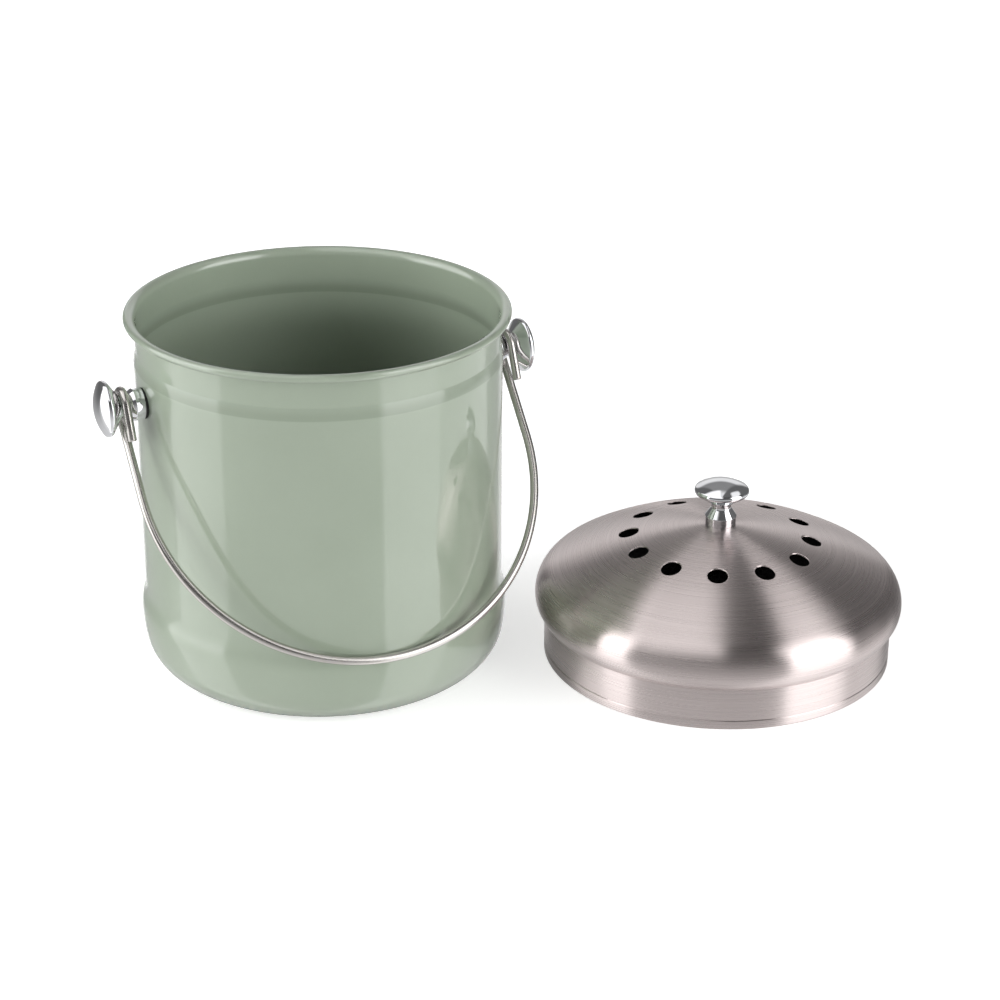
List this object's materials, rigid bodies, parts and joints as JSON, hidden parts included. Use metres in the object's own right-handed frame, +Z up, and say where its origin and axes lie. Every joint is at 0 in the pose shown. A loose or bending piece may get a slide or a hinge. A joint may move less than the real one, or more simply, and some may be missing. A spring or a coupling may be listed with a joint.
{
  "type": "compost caddy",
  "caption": "Round glossy steel worktop pail with a swinging bent-wire bail on mushroom studs, and a separate domed, vented steel lid with a matching knob and a charcoal filter inside.",
  "frame": {"origin": "centre of the pail's flat base, on the table", "axes": "+Z up out of the pail's mouth, +X along the pivot axis of the bail to the right-hand stud, -Y to the front, where the bail leans and the lid stands"},
  "size_m": [0.3725, 0.2565, 0.177],
  "materials": {
    "sage_paint": "gloss",
    "chrome": "polished",
    "gasket_rubber": "matt",
    "zinc_steel": "satin",
    "wire_steel": "satin",
    "brushed_steel": "brushed round the axis",
    "tray_plastic": "matt",
    "charcoal_felt": "felted"
  },
  "bodies": {
    "pail": {"pail": "sage_paint", "left_stud": "chrome", "right_stud": "chrome", "left_stud_gasket": "gasket_rubber", "right_stud_gasket": "gasket_rubber", "left_stud_washer": "zinc_steel", "right_stud_washer": "zinc_steel", "left_stud_screw": "zinc_steel", "right_stud_screw": "zinc_steel"},
    "bail": {"bail": "wire_steel"},
    "lid": {"lid_shell": "brushed_steel", "lid_knob": "chrome", "lid_knob_washer": "zinc_steel", "lid_knob_screw": "zinc_steel"},
    "filter": {"filter_tray": "tray_plastic", "charcoal_filter": "charcoal_felt"}
  },
  "joints": [
    {"name": "bail_swing", "type": "hinge", "parent": "pail", "child": "bail", "pos_m": [0, 0, 0.1425], "axis": [-1, 0, 0], "range_deg": [0, 279.7]},
    {"name": "lid_lift", "type": "slide", "parent": "pail", "child": "lid", "axis": [0.119, -0.0496, 0.9917], "range_m": [0, 0.2]},
    {"name": "filter_drop", "type": "slide", "parent": "lid", "child": "filter", "axis": [0, 0, -1], "range_m": [0, 0.0075]}
  ]
}
